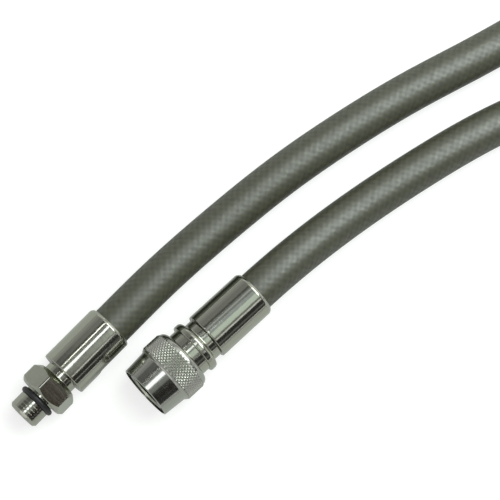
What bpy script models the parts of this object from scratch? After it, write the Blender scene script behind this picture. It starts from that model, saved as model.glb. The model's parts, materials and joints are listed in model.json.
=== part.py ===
"""Low pressure inflator hose with a threaded male end and a quick-release coupling.

The hose lies flat on the ground, doubled back in one loop so that its two ends lie side by side.
One end is a male fitting that screws into a pressure regulator's port. The other is a ball-lock
coupling: pulling its knurled sleeve back frees six steel balls, and a spring valve core inside
shuts off the gas when nothing is plugged in.

Lengths below are in millimetres. Each turned piece is drawn as a profile of (radius, z), where z
runs along the piece's own axis from its open end towards the hose.
"""

import math

import bmesh
import bpy
import numpy as np
from mathutils import Matrix

MM = 0.001

# Gap left between two pieces that touch, and the finer one inside the valve core
clearance = 0.25
fine_clearance = 0.15

# Hose: its route on the ground as (x, y, rise above lying flat), from the male end round
hose_diameter = 12.2
hose_bore = 6.4
hose_lift = 0.05
route_spacing = 2 * hose_diameter
hose_route = [
    (19, 12.35, 1.1), (43, 12.1, 0.15), (66, 10.8, 0), (90, 7.7, 0), (114, 3.1, 0),
    (133, -1.6, 0), (148, -5.0, 0), (164, -7.0, 0), (180, -3.4, 0), (195, 5.6, 0),
    (214, 14.8, 0), (238, 17.2, 0), (261, 9.8, 0), (279, -5.5, 0), (290, -26.5, 0),
    (292, -50, 0), (285, -73, 0), (270, -91, 0), (248.5, -102, 0), (225, -104, 0),
    (203, -96, 0), (184.5, -80, 0), (173, -60, 0), (162, -43, 0), (147, -30, 0),
    (127, -21.6, 0), (103, -16, 0), (79, -12.1, 0.2), (58, -9.9, 1.95),
]

# Crimped ferrules and the barbed stems under them, alike at both ends
ferrule_diameter = 14.65
ferrule_length = 19.1
ferrule_front_wall = 1.3
ferrule_front_chamfer = 0.35
ferrule_rear_chamfer = 0.8
stem_collar_diameter = 8.4
barb_length = 16.0
barb_count = 3
barb_height = 0.4
flow_bore = 3.8
crimp_flat_depth = 0.3
crimp_flat_start = 7.0

# Coupling body
mouth_recess = 0.4
socket_bore = 9.8
socket_depth = 12.4
socket_chamfer = 0.45
body_wall = 1.4
barrel_diameter = 14.4
barrel_shoulder = 12.4
flange_diameter = 16.3
flange_length = 2.75
flange_rounding = 0.75
neck_diameter = 12.8
neck_length = 2.6

# Ball lock
ball_count = 6
ball_diameter = 2.0
ball_grip = 0.6
ball_web = 0.6
ball_pocket_slope = 0.4
released_ball_sink = 0.05

# Retaining ring, a snap ring in a groove near the mouth
ring_thickness = 0.8
ring_front_land = 0.7
ring_groove_depth = 0.7
ring_catch = 0.35
ring_gap = 2.4

# Socket seal, an O-ring in a groove behind the balls
seal_section = 1.0
seal_squeeze = 0.2
seal_distance = 3.6

# Sliding sleeve
mouth_diameter = 16.7
nose_diameter = 17.8
nose_length = 7.2
step_length = 0.8
knurl_diameter = 19.5
knurl_length = 6.1
knurl_depth = 0.35
knurl_columns = 40
knurl_rows = 4
shoulder_length = 1.75
sleeve_rear_diameter = 15.9
sleeve_travel = 2.2
sleeve_land_length = 2.2
ramp_slope = 0.7

# Sleeve spring
sleeve_spring_wire = 0.6
sleeve_spring_turns = 4

# Valve core
core_thread_diameter = 5.7
core_plug_length = 3.2
core_plug_hole = 1.9
core_slot_width = 1.1
core_slot_depth = 1.2
core_seat_length = 2.2
core_lower_bore = 4.8
core_barrel_diameter = 3.5
core_barrel_wall = 0.45
core_barrel_length = 9.4
core_barrel_floor = 0.7
core_barrel_hole = 1.5
pin_diameter = 0.9
pin_stand = 1.5
pin_head_diameter = 1.4
pin_head_length = 1.2
pin_collar_diameter = 2.1
pin_collar_length = 0.5
pin_collar_setback = 0.9
pin_travel = 1.2
poppet_diameter = 3.4
poppet_length = 0.75
poppet_seal_length = 0.6
core_spring_wire = 0.25
core_spring_diameter = 1.7
core_spring_turns = 6

# Male fitting
thread_diameter = 9.5
thread_length = 5.0
thread_chamfer = 0.7
o_ring_section = 1.8
o_ring_outside = 11.1
o_ring_groove_length = 2.2
boss_diameter = 8.8
boss_length = 0.45
hex_across_flats = 14.0
hex_length = 5.4
hex_chamfer_circle = 13.0
hex_chamfer_slope = 0.85
hex_roll = math.radians(14.6)
rear_collar_diameter = 12.9
rear_collar_length = 1.35
male_neck_diameter = 10.15
male_neck_length = 1.9
male_bore = 4.6
male_bore_depth = 9.0

# Where the two fittings lie on the ground
coupling_mouth_x = -6.5
coupling_y = -9.1
male_tip_x = -36.35
male_tip_y = 9.6
male_yaw = math.radians(3.0)

# Facets around the turned pieces
SLEEVE_STEPS = 40
BODY_STEPS = 32
FITTING_STEPS = 28
CORE_STEPS = 18

# Worked out from the driving dimensions: radii and stations of the coupling
bore_r = socket_bore / 2
body_r = bore_r + body_wall
barrel_r = barrel_diameter / 2
ball_r = ball_diameter / 2
ball_centre_r = bore_r - ball_grip + ball_r
ball_travel = ball_grip + released_ball_sink
ball_top_r = ball_centre_r + ball_r
land_r = max(ball_top_r, body_r) + clearance
pocket_r = ball_top_r + ball_travel + clearance
chamber_r = barrel_r + clearance
ring_inner_r = body_r - ring_groove_depth + fine_clearance
ring_outer_r = pocket_r + ring_catch
counterbore_r = ring_outer_r + clearance

ring_front = mouth_recess + ring_front_land
ring_rear = ring_front + ring_thickness
sleeve_stop = ring_rear + clearance
pocket_low_r = ball_r - 0.03
pocket_top_r = pocket_low_r + ball_pocket_slope * body_wall
ball_z = ring_rear + fine_clearance + ball_web + pocket_top_r
ramp_length = (pocket_r - land_r) / ramp_slope
land_end = ball_z + sleeve_land_length
seal_front = ball_z + seal_distance
sleeve_rear = nose_length + step_length + knurl_length + shoulder_length
flange_front = sleeve_rear + sleeve_travel + clearance
flange_rear = flange_front + flange_length
neck_end = flange_rear + neck_length
seat_r = core_thread_diameter / 2
lower_r = core_lower_bore / 2
plug_front = socket_depth + fine_clearance
plug_rear = plug_front + core_plug_length
seat_front = plug_rear + fine_clearance
seat_rear = seat_front + core_seat_length
core_barrel_front = plug_rear + fine_clearance
core_barrel_rear = core_barrel_front + core_barrel_length
poppet_seal_front = core_barrel_rear + fine_clearance
poppet_front = poppet_seal_front + poppet_seal_length + fine_clearance
poppet_rear = poppet_front + poppet_length
lower_bore_end = poppet_rear + pin_travel + clearance

# Stations of the male fitting, from its tip
boss_front = thread_length + o_ring_groove_length
hex_front = boss_front + boss_length
hex_rear = hex_front + hex_length
male_neck_front = hex_rear + rear_collar_length
male_neck_end = male_neck_front + male_neck_length
hex_corner_r = hex_across_flats / 2 / math.cos(math.pi / 6)

# The knurl and the hexagon's lowest corner touch the ground
coupling_height = knurl_diameter / 2
male_height = hex_corner_r * math.cos(math.pi / 6 - hex_roll)


def start_empty_file():
    """Clear the file and make one collection for the part and one for its cutters."""
    for thing in list(bpy.data.objects):
        bpy.data.objects.remove(thing, do_unlink=True)
    part = bpy.data.collections.new("inflator_hose")
    cutters = bpy.data.collections.new("cutters")
    for group in (part, cutters):
        bpy.context.scene.collection.children.link(group)
    return part, cutters


PART, CUTTERS = start_empty_file()


def material(name, colour, roughness, metallic):
    """A Principled BSDF with a colour in linear light."""
    made = bpy.data.materials.new(name)
    made.use_nodes = True
    shader = made.node_tree.nodes["Principled BSDF"]
    shader.inputs["Base Color"].default_value = (*colour, 1.0)
    shader.inputs["Roughness"].default_value = roughness
    shader.inputs["Metallic"].default_value = metallic
    return made


RUBBER = material("wrapped rubber hose", (0.045, 0.046, 0.040), 0.62, 0.0)
SEAL_RUBBER = material("nitrile seal rubber", (0.016, 0.016, 0.018), 0.40, 0.0)
PLATED_BRASS = material("nickel plated brass", (0.52, 0.51, 0.47), 0.16, 1.0)
SATIN_BRASS = material("satin nickel plated brass", (0.50, 0.50, 0.47), 0.28, 1.0)
BARE_BRASS = material("bare brass", (0.62, 0.43, 0.18), 0.30, 1.0)
SPRING_STEEL = material("spring steel", (0.42, 0.42, 0.43), 0.25, 1.0)
BALL_STEEL = material("ball bearing steel", (0.60, 0.60, 0.61), 0.10, 1.0)


def axis_empty(name, x, y, height, yaw):
    """The frame of one fitting: its local Z runs along the fitting, towards the hose."""
    empty = bpy.data.objects.new(name, None)
    empty.location = (x * MM, y * MM, height * MM)
    empty.rotation_euler = (0.0, math.pi / 2, yaw)
    PART.objects.link(empty)
    return empty


def add_object(name, mesh, finish, parent, group=PART):
    """Put a mesh into the file under its parent, with its material."""
    made = bpy.data.objects.new(name, mesh)
    group.objects.link(made)
    made.parent = parent
    if finish:
        mesh.materials.append(finish)
    return made


def hide_cutter(cutter):
    """Mark an object as a cutting tool, which isn't part of the hose."""
    cutter.hide_render = True
    cutter.display_type = "WIRE"
    return cutter


def settle(made):
    """Turn an object's modifiers into plain mesh, and shade its round faces smooth."""
    bpy.context.view_layer.update()
    evaluated = made.evaluated_get(bpy.context.evaluated_depsgraph_get())
    mesh = bpy.data.meshes.new_from_object(evaluated)
    made.modifiers.clear()
    made.data = mesh
    mesh.shade_smooth()
    mesh.set_sharp_from_angle(angle=math.radians(32))
    return made


def profile_mesh(name, profile, closed):
    """A line of (radius, z) points, reversed so that its outer side runs top to bottom."""
    points = [(r * MM, 0.0, z * MM) for r, z in reversed(profile)]
    edges = [(k, k + 1) for k in range(len(points) - 1)]
    if closed:
        edges.append((len(points) - 1, 0))
    mesh = bpy.data.meshes.new(name)
    mesh.from_pydata(points, edges, [])
    return mesh


def turned(name, profile, steps, finish, parent, closed=True, group=PART):
    """Turn a profile about the local Z axis. Its points run towards the hose on the outside."""
    made = add_object(name, profile_mesh(name, profile, closed), finish, parent, group)
    screw = made.modifiers.new("turn", "SCREW")
    screw.axis = "Z"
    screw.angle = 2 * math.pi
    screw.steps = steps
    screw.render_steps = steps
    screw.use_merge_vertices = True
    screw.merge_threshold = 0.000001
    return made


def cut(made, cutter, operation="DIFFERENCE"):
    """Add an exact Boolean with a hidden cutter."""
    hide_cutter(cutter)
    boolean = made.modifiers.new(cutter.name, "BOOLEAN")
    boolean.operation = operation
    boolean.solver = "EXACT"
    boolean.object = cutter
    return made


def arc(centre_r, centre_z, radius, start, end, count):
    """Points on an arc in the profile plane; angles in degrees from the +radius direction."""
    angles = np.radians(np.linspace(start, end, count))
    return [(centre_r + radius * math.cos(a), centre_z + radius * math.sin(a)) for a in angles]


def ring_section(middle_r, middle_z, section, sides):
    """A round section, run along the outside from front to back and home along the inside."""
    angles = np.radians(np.linspace(-90, 270, sides, endpoint=False))
    half = section / 2
    return [(middle_r + half * math.cos(a), middle_z + half * math.sin(a)) for a in angles]


def barbed_stem(start, end):
    """Profile of a hose barb: saw teeth that lean towards the open end of the hose."""
    low = hose_bore / 2
    pitch = (end - start) / (barb_count + 1)
    points = [(low, start)]
    for k in range(barb_count):
        crest = start + (k + 1) * pitch
        points += [(low, crest - 0.1), (low + barb_height, crest), (low, crest + 0.8 * pitch)]
    return points + [(low, end - 0.6), (low - 0.5, end)]


def ferrule_profile(front):
    """A crimped cup with a hole in its front wall for the stem's collar."""
    outer = ferrule_diameter / 2
    inner = hose_diameter / 2 + clearance
    hole = stem_collar_diameter / 2 + clearance
    rear = front + ferrule_length
    return [
        (hole, front),
        (outer - ferrule_front_chamfer, front),
        (outer, front + ferrule_front_chamfer),
        (outer, rear - ferrule_rear_chamfer),
        (outer - 0.5 * ferrule_rear_chamfer, rear - 0.2 * ferrule_rear_chamfer),
        (outer - 0.75 * ferrule_rear_chamfer, rear),
        (inner, rear),
        (inner, front + ferrule_front_wall),
        (hole, front + ferrule_front_wall),
    ]


def helix(name, mean_r, wire, turns, front, rear, per_turn, finish, parent):
    """A compression spring between two seats, as a round wire along a helix."""
    low = front + fine_clearance + wire / 2
    high = rear - fine_clearance - wire / 2
    count = turns * per_turn + 1
    along = np.linspace(0.0, 1.0, count)
    angle = 2 * math.pi * turns * along
    curve = bpy.data.curves.new(name, "CURVE")
    curve.dimensions = "3D"
    curve.bevel_depth = wire / 2 * MM
    curve.bevel_resolution = 2
    curve.use_fill_caps = True
    spline = curve.splines.new("POLY")
    spline.points.add(count - 1)
    for point, a, t in zip(spline.points, angle, along):
        x, y, z = mean_r * math.cos(a), mean_r * math.sin(a), low + (high - low) * t
        point.co = (x * MM, y * MM, z * MM, 1.0)
    return add_object(name, curve, finish, parent)


COUPLING = axis_empty("coupling_axis", coupling_mouth_x, coupling_y, coupling_height, 0.0)
MALE = axis_empty("male_axis", male_tip_x, male_tip_y, male_height, male_yaw)


def flange_crest():
    """The rounded collar that the fingers push against when the sleeve is pulled back."""
    outer = flange_diameter / 2
    r = flange_rounding
    front = arc(outer - r, flange_front + r, r, -90, 0, 4)
    back = [(outer, flange_rear - 1.6 * r), (outer - 0.45 * r, flange_rear - 0.7 * r)]
    return [(barrel_r, flange_front)] + front + back


def body_profile():
    """The coupling's one-piece body: socket, barrel, flange, neck and barbed stem."""
    neck_r = neck_diameter / 2
    collar_r = stem_collar_diameter / 2
    groove_r = body_r - ring_groove_depth
    stem_start = neck_end + clearance + ferrule_front_wall + clearance
    stem_end = neck_end + clearance + barb_length
    seal_groove_r = bore_r - seal_squeeze + seal_section + fine_clearance
    seal_rear = seal_front + seal_section + 2 * fine_clearance
    outside = [
        (bore_r + socket_chamfer, mouth_recess),
        (body_r - 0.2, mouth_recess),
        (body_r, mouth_recess + 0.2),
        (body_r, ring_front - fine_clearance),
        (groove_r, ring_front - fine_clearance),
        (groove_r, ring_rear + fine_clearance),
        (body_r, ring_rear + fine_clearance),
        (body_r, barrel_shoulder),
        (barrel_r, barrel_shoulder),
    ]
    rear = [
        (neck_r, flange_rear),
        (neck_r, neck_end),
        (collar_r, neck_end),
        (collar_r, stem_start),
    ] + barbed_stem(stem_start, stem_end)
    inside = [
        (flow_bore / 2, stem_end),
        (flow_bore / 2, lower_bore_end),
        (lower_r, lower_bore_end),
        (lower_r, seat_rear),
        (seat_r, seat_front),
        (seat_r, socket_depth),
        (bore_r, socket_depth),
        (bore_r, seal_rear),
        (seal_groove_r, seal_rear),
        (seal_groove_r, seal_front),
        (bore_r, seal_front),
        (bore_r, mouth_recess + socket_chamfer),
    ]
    return outside + flange_crest() + rear + inside


def ball_direction(k):
    """Angle of ball k about the coupling's axis."""
    return 2 * math.pi * k / ball_count


def ball_pocket_cutter():
    """Six tapered holes that let each ball into the bore without letting it fall through."""
    bm = bmesh.new()
    start_r = bore_r - 1.0
    end_r = body_r + 1.0
    for k in range(ball_count):
        middle = Matrix.Translation(((start_r + end_r) / 2 * MM, 0.0, ball_z * MM))
        turn = Matrix.Rotation(ball_direction(k), 4, "Z") @ middle
        place = turn @ Matrix.Rotation(math.pi / 2, 4, "Y")
        bmesh.ops.create_cone(
            bm,
            cap_ends=True,
            segments=12,
            radius1=(pocket_low_r - ball_pocket_slope * (bore_r - start_r)) * MM,
            radius2=(pocket_low_r + ball_pocket_slope * (end_r - bore_r)) * MM,
            depth=(end_r - start_r) * MM,
            matrix=place,
        )
    mesh = bpy.data.meshes.new("ball_pockets")
    bm.to_mesh(mesh)
    bm.free()
    return add_object("ball_pockets", mesh, None, COUPLING, CUTTERS)


def make_coupling_body():
    body = turned("coupling_body", body_profile(), BODY_STEPS, PLATED_BRASS, COUPLING)
    return settle(cut(body, ball_pocket_cutter()))


def make_balls():
    """Steel balls in their locked place, standing into the socket."""
    for k in range(ball_count):
        bm = bmesh.new()
        bmesh.ops.create_uvsphere(bm, u_segments=10, v_segments=6, radius=ball_r * MM)
        mesh = bpy.data.meshes.new(f"lock_ball_{k + 1}")
        bm.to_mesh(mesh)
        bm.free()
        mesh.shade_smooth()
        ball = add_object(f"lock_ball_{k + 1}", mesh, BALL_STEEL, COUPLING)
        a = ball_direction(k)
        x, y = ball_centre_r * math.cos(a), ball_centre_r * math.sin(a)
        ball.location = (x * MM, y * MM, ball_z * MM)


def make_retaining_ring():
    """A flat snap ring, open at the bottom, that stops the sleeve coming off the front."""
    profile = [
        (ring_inner_r, ring_front),
        (ring_outer_r, ring_front),
        (ring_outer_r, ring_rear),
        (ring_inner_r, ring_rear),
    ]
    ring = turned("retaining_ring", profile, BODY_STEPS, SPRING_STEEL, COUPLING)
    bm = bmesh.new()
    bmesh.ops.create_cube(bm, size=MM)
    size = (ring_outer_r * 2, ring_gap, ring_thickness * 3)
    bmesh.ops.scale(bm, vec=size, verts=bm.verts)
    middle = (ring_outer_r * MM, 0.0, (ring_front + ring_rear) / 2 * MM)
    bmesh.ops.translate(bm, vec=middle, verts=bm.verts)
    mesh = bpy.data.meshes.new("ring_gap")
    bm.to_mesh(mesh)
    bm.free()
    gap = add_object("ring_gap", mesh, None, COUPLING, CUTTERS)
    return settle(cut(ring, gap))


def make_socket_seal():
    middle_r = bore_r - seal_squeeze + seal_section / 2
    middle_z = seal_front + fine_clearance + seal_section / 2
    section = ring_section(middle_r, middle_z, seal_section, 8)
    return settle(turned("socket_seal", section, FITTING_STEPS, SEAL_RUBBER, COUPLING))


def sleeve_shell_profile():
    """The sleeve without its knurled band: back round the rear, through the bore, to the nose."""
    crest = knurl_diameter / 2
    root = crest - knurl_depth
    band_start = nose_length + step_length
    band_end = band_start + knurl_length
    rear_r = sleeve_rear_diameter / 2
    rise = root - rear_r
    shoulder = [
        (rear_r + rise * math.cos(a), band_end + shoulder_length * math.sin(a))
        for a in np.radians((0, 22, 45, 68, 90))
    ]
    inside = [
        (chamber_r, sleeve_rear),
        (chamber_r, land_end),
        (land_r, land_end),
        (land_r, ball_z),
        (pocket_r, ball_z - ramp_length),
        (pocket_r, sleeve_stop),
        (counterbore_r, sleeve_stop),
        (counterbore_r, 0.0),
    ]
    nose = [
        (mouth_diameter / 2 - 0.2, 0.0),
        (mouth_diameter / 2, 0.2),
        (nose_diameter / 2, nose_length),
        (root, band_start),
    ]
    return shoulder + inside + nose


def knurl_band():
    """A sheet of diamonds wrapped round the sleeve: every other grid point stands proud.

    Each square of the grid is folded along the diagonal that joins its two low points, so that
    the low points line up in two crossing sets of spiral grooves.
    """
    around, along = 2 * knurl_columns, 2 * knurl_rows
    crest = knurl_diameter / 2
    start = nose_length + step_length
    bm = bmesh.new()
    bmesh.ops.create_grid(bm, x_segments=around, y_segments=along, size=0.5)
    low = set()
    for vert in bm.verts:
        column = round((vert.co.x + 0.5) * around)
        row = round((vert.co.y + 0.5) * along)
        if (column + row) % 2 == 1:
            low.add(vert)
        proud = vert not in low and 0 < row < along
        radius = (crest if proud else crest - knurl_depth) * MM
        angle = 2 * math.pi * column / around
        z = (start + knurl_length * row / along) * MM
        vert.co = (radius * math.cos(angle), radius * math.sin(angle), z)
    for face in list(bm.faces):
        pair = [vert for vert in face.verts if vert in low]
        bmesh.utils.face_split(face, pair[0], pair[1])
    bmesh.ops.remove_doubles(bm, verts=bm.verts, dist=0.000001)
    return bm


def boundary_rings(bm):
    """The open edges of a mesh, sorted into rings by their place along Z."""
    rings = {}
    for edge in bm.edges:
        if edge.is_boundary:
            z = round(edge.verts[0].co.z / MM, 2)
            rings.setdefault(z, []).append(edge)
    return rings


def make_sleeve():
    """Join the turned shell to the knurled band, ring to ring."""
    shell = turned("sleeve_shell", sleeve_shell_profile(), SLEEVE_STEPS, None, COUPLING, closed=False)
    settle(shell)
    bm = knurl_band()
    bm.from_mesh(shell.data)
    bpy.data.objects.remove(shell, do_unlink=True)
    for edges in boundary_rings(bm).values():
        bmesh.ops.bridge_loops(bm, edges=edges)
    bmesh.ops.recalc_face_normals(bm, faces=bm.faces)
    mesh = bpy.data.meshes.new("sliding_sleeve")
    bm.to_mesh(mesh)
    bm.free()
    sleeve = add_object("sliding_sleeve", mesh, SATIN_BRASS, COUPLING)
    mesh.shade_smooth()
    mesh.set_sharp_from_angle(angle=math.radians(20))
    return sleeve


def make_sleeve_spring():
    mean_r = (land_r + chamber_r) / 2
    return helix("sleeve_spring", mean_r, sleeve_spring_wire, sleeve_spring_turns,
                 land_end, barrel_shoulder, 14, SPRING_STEEL, COUPLING)


def make_ferrule(name, parent, front):
    return turned(name, ferrule_profile(front), FITTING_STEPS, PLATED_BRASS, parent)


def make_core_plug():
    """The threaded plug that holds the valve core, with a slot across for the core tool."""
    outer = seat_r - clearance
    hole = core_plug_hole / 2
    profile = [
        (hole, plug_front),
        (outer - 0.3, plug_front),
        (outer, plug_front + 0.3),
        (outer, plug_rear),
        (hole, plug_rear),
    ]
    plug = turned("core_plug", profile, CORE_STEPS, BARE_BRASS, COUPLING)
    bm = bmesh.new()
    bmesh.ops.create_cube(bm, size=MM)
    bmesh.ops.scale(bm, vec=(outer * 3, core_slot_width, core_slot_depth * 2), verts=bm.verts)
    bmesh.ops.translate(bm, vec=(0.0, 0.0, plug_front * MM), verts=bm.verts)
    mesh = bpy.data.meshes.new("core_slot")
    bm.to_mesh(mesh)
    bm.free()
    slot = add_object("core_slot", mesh, None, COUPLING, CUTTERS)
    return settle(cut(plug, slot))


def make_core_barrel():
    outer = core_barrel_diameter / 2
    inner = outer - core_barrel_wall
    hole = core_barrel_hole / 2
    floor = core_barrel_rear - core_barrel_floor
    profile = [
        (inner, core_barrel_front),
        (outer, core_barrel_front),
        (outer, core_barrel_rear - 0.2),
        (outer - 0.2, core_barrel_rear),
        (hole, core_barrel_rear),
        (hole, floor),
        (inner, floor),
    ]
    return settle(turned("core_barrel", profile, CORE_STEPS, BARE_BRASS, COUPLING))


def make_core_gasket():
    """The tapered ring that seals the barrel against the body's cone."""
    inner = core_barrel_diameter / 2 + fine_clearance
    front = seat_front + 0.1 * core_seat_length
    profile = [
        (inner, front),
        (seat_r - clearance, front),
        (lower_r - clearance, seat_rear),
        (inner, seat_rear),
    ]
    return settle(turned("core_gasket", profile, CORE_STEPS, SEAL_RUBBER, COUPLING))


def make_core_pin():
    """The pin that opens the valve: head, rod, spring collar and poppet in one piece."""
    rod = pin_diameter / 2
    tip = socket_depth - pin_stand
    head = pin_head_diameter / 2
    collar = pin_collar_diameter / 2
    collar_front = core_barrel_front + pin_collar_setback
    collar_rear = collar_front + pin_collar_length
    profile = [
        (0.0, tip),
        (head - 0.25, tip),
        (head, tip + 0.25),
        (head, tip + pin_head_length),
        (rod, tip + pin_head_length + 0.3),
        (rod, collar_front),
        (collar, collar_front),
        (collar, collar_rear),
        (rod, collar_rear),
        (rod, poppet_front),
        (poppet_diameter / 2, poppet_front),
        (poppet_diameter / 2, poppet_rear),
        (0.0, poppet_rear),
    ]
    return settle(turned("core_pin", profile, CORE_STEPS, BARE_BRASS, COUPLING, closed=False))


def make_poppet_seal():
    inner = pin_diameter / 2 + fine_clearance
    outer = poppet_diameter / 2 - 0.1
    rear = poppet_seal_front + poppet_seal_length
    profile = [
        (inner, poppet_seal_front),
        (outer, poppet_seal_front),
        (outer, rear),
        (inner, rear),
    ]
    return settle(turned("core_poppet_seal", profile, CORE_STEPS, SEAL_RUBBER, COUPLING))


def make_core_spring():
    front = core_barrel_front + pin_collar_setback + pin_collar_length
    rear = core_barrel_rear - core_barrel_floor
    return helix("core_spring", core_spring_diameter / 2, core_spring_wire, core_spring_turns,
                 front, rear, 8, SPRING_STEEL, COUPLING)


def hex_prism():
    """The spanner hexagon, its corners turned off by a cone at each end."""
    bm = bmesh.new()
    turn = Matrix.Rotation(hex_roll, 4, "Z")
    middle = Matrix.Translation((0.0, 0.0, (hex_front + hex_rear) / 2 * MM))
    bmesh.ops.create_cone(bm, cap_ends=True, segments=6, radius1=hex_corner_r * MM,
                          radius2=hex_corner_r * MM, depth=hex_length * MM, matrix=middle @ turn)
    mesh = bpy.data.meshes.new("hexagon")
    bm.to_mesh(mesh)
    bm.free()
    hexagon = add_object("hexagon", mesh, None, MALE, CUTTERS)
    face_r = hex_chamfer_circle / 2
    wide_r = hex_corner_r + 1.0
    run = (wide_r - face_r) * hex_chamfer_slope
    profile = [
        (0.0, hex_front),
        (face_r, hex_front),
        (wide_r, hex_front + run),
        (wide_r, hex_rear - run),
        (face_r, hex_rear),
        (0.0, hex_rear),
    ]
    blank = turned("hexagon_chamfer", profile, FITTING_STEPS, None, MALE, closed=False, group=CUTTERS)
    return settle(cut(hexagon, settle(blank), "INTERSECT"))


def male_profile():
    """The outside of the male fitting, from its threaded tip to its barbed stem."""
    thread_r = thread_diameter / 2
    groove_r = o_ring_outside / 2 - o_ring_section - fine_clearance
    boss_r = boss_diameter / 2
    rear_r = rear_collar_diameter / 2
    neck_r = male_neck_diameter / 2
    collar_r = stem_collar_diameter / 2
    stem_start = male_neck_end + clearance + ferrule_front_wall + clearance
    stem_end = male_neck_end + clearance + barb_length
    front = [
        (male_bore / 2, 0.0),
        (thread_r - thread_chamfer, 0.0),
        (thread_r, thread_chamfer),
        (thread_r, thread_length - 0.4),
        (thread_r - 0.4, thread_length),
        (groove_r, thread_length),
        (groove_r, boss_front),
        (boss_r, boss_front),
        (boss_r, hex_front + 0.3),
        (boss_r, hex_rear - 0.3),
        (rear_r, hex_rear - 0.3),
        (rear_r, male_neck_front - 0.45),
        (rear_r - 0.45, male_neck_front),
        (neck_r, male_neck_front),
        (neck_r, male_neck_end),
        (collar_r, male_neck_end),
        (collar_r, stem_start),
    ]
    inside = [
        (flow_bore / 2, stem_end),
        (flow_bore / 2, male_bore_depth + 0.5),
        (male_bore / 2, male_bore_depth),
    ]
    return front + barbed_stem(stem_start, stem_end) + inside


def make_male_fitting():
    fitting = turned("male_fitting", male_profile(), FITTING_STEPS, PLATED_BRASS, MALE)
    return settle(cut(fitting, hex_prism(), "UNION"))


def make_o_ring():
    middle_z = thread_length + o_ring_groove_length / 2
    middle_r = (o_ring_outside - o_ring_section) / 2
    section = ring_section(middle_r, middle_z, o_ring_section, 10)
    return settle(turned("male_o_ring", section, FITTING_STEPS, SEAL_RUBBER, MALE))


def make_male_ferrule():
    """The male end's ferrule, with the flat that the crimping jaw left on its side."""
    front = male_neck_end + clearance
    ferrule = make_ferrule("male_ferrule", MALE, front)
    bm = bmesh.new()
    bmesh.ops.create_cube(bm, size=MM)
    size = ferrule_diameter
    flat = ferrule_diameter / 2 - crimp_flat_depth
    bmesh.ops.scale(bm, vec=(size, size, ferrule_length), verts=bm.verts)
    start = front + crimp_flat_start
    middle = (0.0, -(flat + size / 2) * MM, (start + ferrule_length / 2) * MM)
    bmesh.ops.translate(bm, vec=middle, verts=bm.verts)
    mesh = bpy.data.meshes.new("crimp_flat")
    bm.to_mesh(mesh)
    bm.free()
    jaw = add_object("crimp_flat", mesh, None, MALE, CUTTERS)
    return settle(cut(ferrule, jaw))


def fitting_point(along, x, y, height, yaw):
    """A point on a fitting's axis, in millimetres on the ground plan."""
    return np.array([x + along * math.cos(yaw), y + along * math.sin(yaw), height])


def smooth_route(ends, directions, spacing):
    """Points along a smooth curve through the route, clamped to the fittings' axes.

    The curve is a cubic spline over the chord length: its tangents at the route's points solve
    one set of linear equations that makes its curvature run on without a jump.
    """
    flat = hose_diameter / 2 + hose_lift
    knots = np.array([ends[0]] + [(x, y, flat + rise) for x, y, rise in hose_route] + [ends[1]])
    step = np.linalg.norm(np.diff(knots, axis=0), axis=1)
    count = len(knots)
    matrix = np.eye(count)
    target = np.zeros((count, 3))
    target[0], target[-1] = directions
    slope = np.diff(knots, axis=0) / step[:, None]
    for k in range(1, count - 1):
        matrix[k, k - 1:k + 2] = step[k], 2 * (step[k - 1] + step[k]), step[k - 1]
        target[k] = 3 * (step[k] * slope[k - 1] + step[k - 1] * slope[k])
    tangent = np.linalg.solve(matrix, target)
    fine = []
    for k in range(count - 1):
        t = np.linspace(0.0, 1.0, 24, endpoint=False)[:, None]
        a, b = knots[k], knots[k + 1]
        u, v = tangent[k] * step[k], tangent[k + 1] * step[k]
        fine.append((2 * t**3 - 3 * t**2 + 1) * a + (t**3 - 2 * t**2 + t) * u
                    + (3 * t**2 - 2 * t**3) * b + (t**3 - t**2) * v)
    fine = np.vstack(fine + [knots[-1:]])
    run = np.concatenate([[0.0], np.cumsum(np.linalg.norm(np.diff(fine, axis=0), axis=1))])
    places = np.linspace(0.0, run[-1], round(run[-1] / spacing) + 1)
    return np.stack([np.interp(places, run, fine[:, axis]) for axis in range(3)], axis=1)


def hose_end_cutter(name, parent, start, end):
    """The round space that a barbed stem fills in the hose's end."""
    radius = hose_bore / 2 + barb_height + clearance
    profile = [(0.0, start), (radius, start), (radius, end), (0.0, end)]
    cutter = turned(name, profile, CORE_STEPS, None, parent, closed=False, group=CUTTERS)
    return settle(cutter)


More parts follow.
